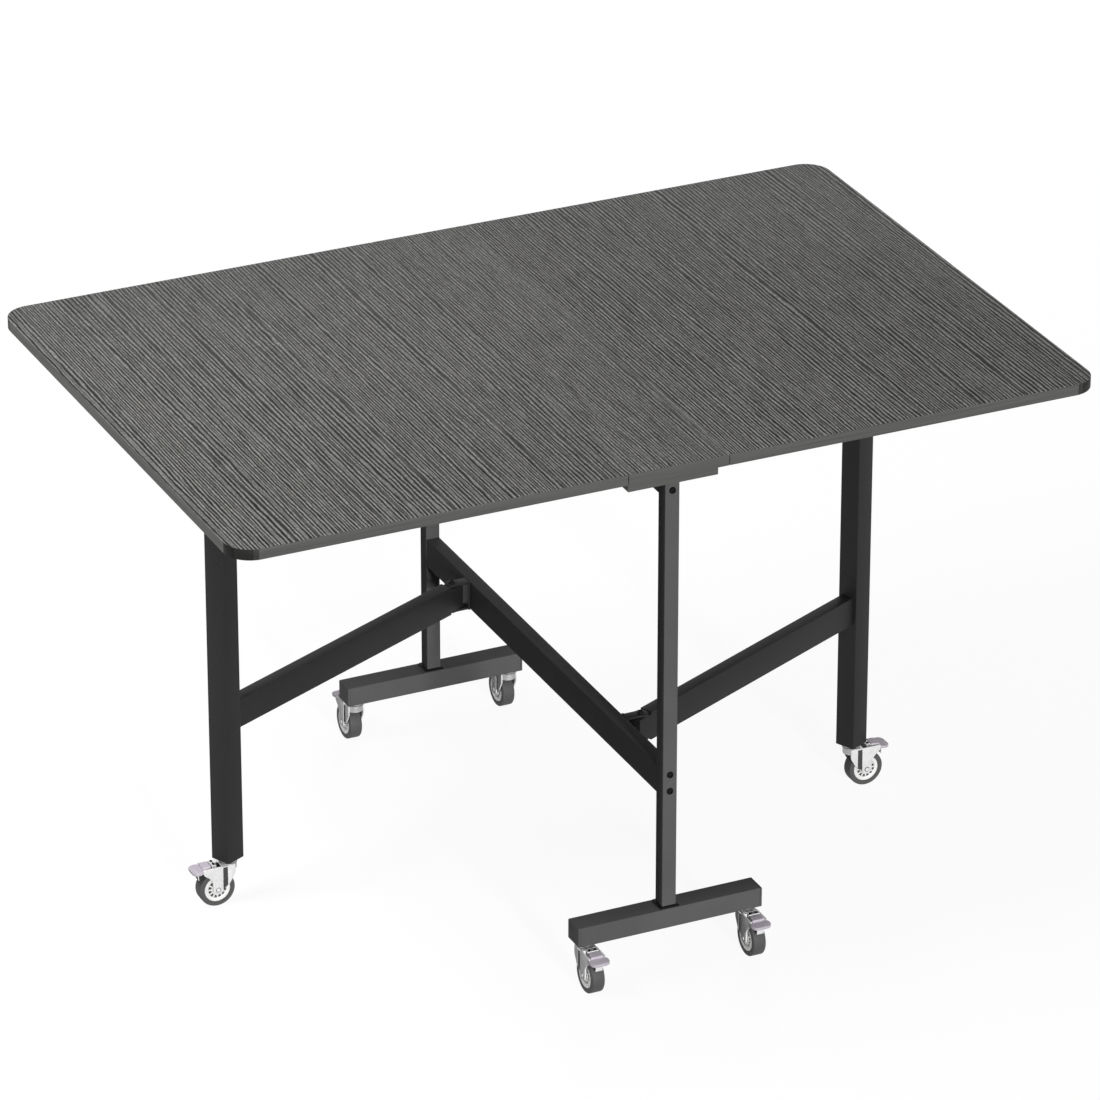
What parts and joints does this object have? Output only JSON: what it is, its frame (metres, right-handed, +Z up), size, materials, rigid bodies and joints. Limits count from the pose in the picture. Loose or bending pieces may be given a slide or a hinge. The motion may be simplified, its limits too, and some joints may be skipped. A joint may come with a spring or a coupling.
{
  "type": "drop-leaf dining table",
  "caption": "Folding dining table: narrow centre panel, a hinged leaf on each side, swing-out gate legs under the leaves, black tube frame on T feet, braked swivel casters.",
  "frame": {"origin": "on the floor under the middle of the top", "axes": "+X along the long side, to the right; +Y to the rear; +Z up"},
  "size_m": [1.2, 0.8492, 0.73],
  "materials": {
    "grey_wood": "dark grey wood-look, satin",
    "black_steel": "black powder coat, satin",
    "black_bolt": "blackened steel",
    "black_plastic": "matt black plastic",
    "hinge_steel": "zinc-plated steel",
    "zinc_steel": "bright zinc plate",
    "grey_tyre": "dark grey rubber",
    "pale_rim": "pale nylon",
    "pedal_plastic": "lavender-grey nylon"
  },
  "bodies": {
    "frame": {"centre_panel": "grey_wood", "centre_batten": "grey_wood", "top_rail": "black_steel", "stretcher": "black_steel", "front_post": "black_steel", "rear_post": "black_steel", "front_foot": "black_steel", "rear_foot": "black_steel", "front_foot_left_cap": "black_plastic", "front_foot_right_cap": "black_plastic", "rear_foot_left_cap": "black_plastic", "rear_foot_right_cap": "black_plastic", "left_gate_bracket": "black_steel", "right_gate_bracket": "black_steel", "left_pivot_bolt": "black_bolt", "right_pivot_bolt": "black_bolt", "left_batten_hinge": "hinge_steel", "right_batten_hinge": "hinge_steel", "left_hinge_pin": "hinge_steel", "right_hinge_pin": "hinge_steel"},
    "left_leaf": {"left_leaf": "grey_wood", "left_leaf_hinge": "hinge_steel", "left_leaf_rest": "grey_wood"},
    "right_leaf": {"right_leaf": "grey_wood", "right_leaf_hinge": "hinge_steel", "right_leaf_rest": "grey_wood"},
    "left_gate": {"left_gate_arm": "black_steel", "left_gate_leg": "black_steel"},
    "right_gate": {"right_gate_arm": "black_steel", "right_gate_leg": "black_steel"},
    "front_left_caster": {"front_left_fork": "zinc_steel", "front_left_axle": "zinc_steel"},
    "front_left_wheel": {"front_left_tyre": "grey_tyre", "front_left_rim": "pale_rim"},
    "front_left_brake": {"front_left_pedal": "pedal_plastic"},
    "front_right_caster": {"front_right_fork": "zinc_steel", "front_right_axle": "zinc_steel"},
    "front_right_wheel": {"front_right_tyre": "grey_tyre", "front_right_rim": "pale_rim"},
    "front_right_brake": {"front_right_pedal": "pedal_plastic"},
    "rear_left_caster": {"rear_left_fork": "zinc_steel", "rear_left_axle": "zinc_steel"},
    "rear_left_wheel": {"rear_left_tyre": "grey_tyre", "rear_left_rim": "pale_rim"},
    "rear_left_brake": {"rear_left_pedal": "pedal_plastic"},
    "rear_right_caster": {"rear_right_fork": "zinc_steel", "rear_right_axle": "zinc_steel"},
    "rear_right_wheel": {"rear_right_tyre": "grey_tyre", "rear_right_rim": "pale_rim"},
    "rear_right_brake": {"rear_right_pedal": "pedal_plastic"},
    "left_gate_caster": {"left_gate_fork": "zinc_steel", "left_gate_axle": "zinc_steel"},
    "left_gate_wheel": {"left_gate_tyre": "grey_tyre", "left_gate_rim": "pale_rim"},
    "left_gate_brake": {"left_gate_pedal": "pedal_plastic"},
    "right_gate_caster": {"right_gate_fork": "zinc_steel", "right_gate_axle": "zinc_steel"},
    "right_gate_wheel": {"right_gate_tyre": "grey_tyre", "right_gate_rim": "pale_rim"},
    "right_gate_brake": {"right_gate_pedal": "pedal_plastic"}
  },
  "joints": [
    {"name": "left_leaf_lift", "type": "hinge", "parent": "frame", "child": "left_leaf", "pos_m": [-0.0662, 0, 0.7113], "axis": [0, 1, 0], "range_deg": [0, 3]},
    {"name": "right_leaf_lift", "type": "hinge", "parent": "frame", "child": "right_leaf", "pos_m": [0.0662, 0, 0.7113], "axis": [0, -1, 0], "range_deg": [0, 3]},
    {"name": "left_gate_swing", "type": "hinge", "parent": "frame", "child": "left_gate", "pos_m": [-0.033, 0.225, 0.272], "axis": [0, 0, 1], "range_deg": [0, 64.6]},
    {"name": "right_gate_swing", "type": "hinge", "parent": "frame", "child": "right_gate", "pos_m": [0.033, -0.225, 0.272], "axis": [0, 0, 1], "range_deg": [0, 64.6]},
    {"name": "front_left_swivel", "type": "hinge", "parent": "frame", "child": "front_left_caster", "pos_m": [-0.1155, -0.371, 0.0643], "axis": [0, 0, 1], "continuous": true},
    {"name": "front_left_roll", "type": "hinge", "parent": "front_left_caster", "child": "front_left_wheel", "pos_m": [-0.1155, -0.39, 0.025], "axis": [1, 0, 0], "continuous": true},
    {"name": "front_left_press", "type": "hinge", "parent": "front_left_caster", "child": "front_left_brake", "pos_m": [-0.1155, -0.405, 0.0545], "axis": [1, 0, 0], "range_deg": [0, 10]},
    {"name": "front_right_swivel", "type": "hinge", "parent": "frame", "child": "front_right_caster", "pos_m": [0.1155, -0.371, 0.0643], "axis": [0, 0, 1], "continuous": true},
    {"name": "front_right_roll", "type": "hinge", "parent": "front_right_caster", "child": "front_right_wheel", "pos_m": [0.1155, -0.39, 0.025], "axis": [1, 0, 0], "continuous": true},
    {"name": "front_right_press", "type": "hinge", "parent": "front_right_caster", "child": "front_right_brake", "pos_m": [0.1155, -0.405, 0.0545], "axis": [1, 0, 0], "range_deg": [0, 10]},
    {"name": "rear_left_swivel", "type": "hinge", "parent": "frame", "child": "rear_left_caster", "pos_m": [-0.1155, 0.371, 0.0643], "axis": [0, 0, 1], "continuous": true},
    {"name": "rear_left_roll", "type": "hinge", "parent": "rear_left_caster", "child": "rear_left_wheel", "pos_m": [-0.1155, 0.39, 0.025], "axis": [-1, 0, 0], "continuous": true},
    {"name": "rear_left_press", "type": "hinge", "parent": "rear_left_caster", "child": "rear_left_brake", "pos_m": [-0.1155, 0.405, 0.0545], "axis": [-1, 0, 0], "range_deg": [0, 10]},
    {"name": "rear_right_swivel", "type": "hinge", "parent": "frame", "child": "rear_right_caster", "pos_m": [0.1155, 0.371, 0.0643], "axis": [0, 0, 1], "continuous": true},
    {"name": "rear_right_roll", "type": "hinge", "parent": "rear_right_caster", "child": "rear_right_wheel", "pos_m": [0.1155, 0.39, 0.025], "axis": [-1, 0, 0], "continuous": true},
    {"name": "rear_right_press", "type": "hinge", "parent": "rear_right_caster", "child": "rear_right_brake", "pos_m": [0.1155, 0.405, 0.0545], "axis": [-1, 0, 0], "range_deg": [0, 10]},
    {"name": "left_gate_swivel", "type": "hinge", "parent": "left_gate", "child": "left_gate_caster", "pos_m": [-0.44582, 0.02898, 0.0643], "axis": [0, 0, 1], "continuous": true},
    {"name": "left_gate_roll", "type": "hinge", "parent": "left_gate_caster", "child": "left_gate_wheel", "pos_m": [-0.46482, 0.02898, 0.025], "axis": [0, -1, 0], "continuous": true},
    {"name": "left_gate_press", "type": "hinge", "parent": "left_gate_caster", "child": "left_gate_brake", "pos_m": [-0.47982, 0.02898, 0.0545], "axis": [0, -1, 0], "range_deg": [0, 10]},
    {"name": "right_gate_swivel", "type": "hinge", "parent": "right_gate", "child": "right_gate_caster", "pos_m": [0.44582, -0.02898, 0.0643], "axis": [0, 0, 1], "continuous": true},
    {"name": "right_gate_roll", "type": "hinge", "parent": "right_gate_caster", "child": "right_gate_wheel", "pos_m": [0.46482, -0.02898, 0.025], "axis": [0, 1, 0], "continuous": true},
    {"name": "right_gate_press", "type": "hinge", "parent": "right_gate_caster", "child": "right_gate_brake", "pos_m": [0.47982, -0.02898, 0.0545], "axis": [0, 1, 0], "range_deg": [0, 10]}
  ]
}
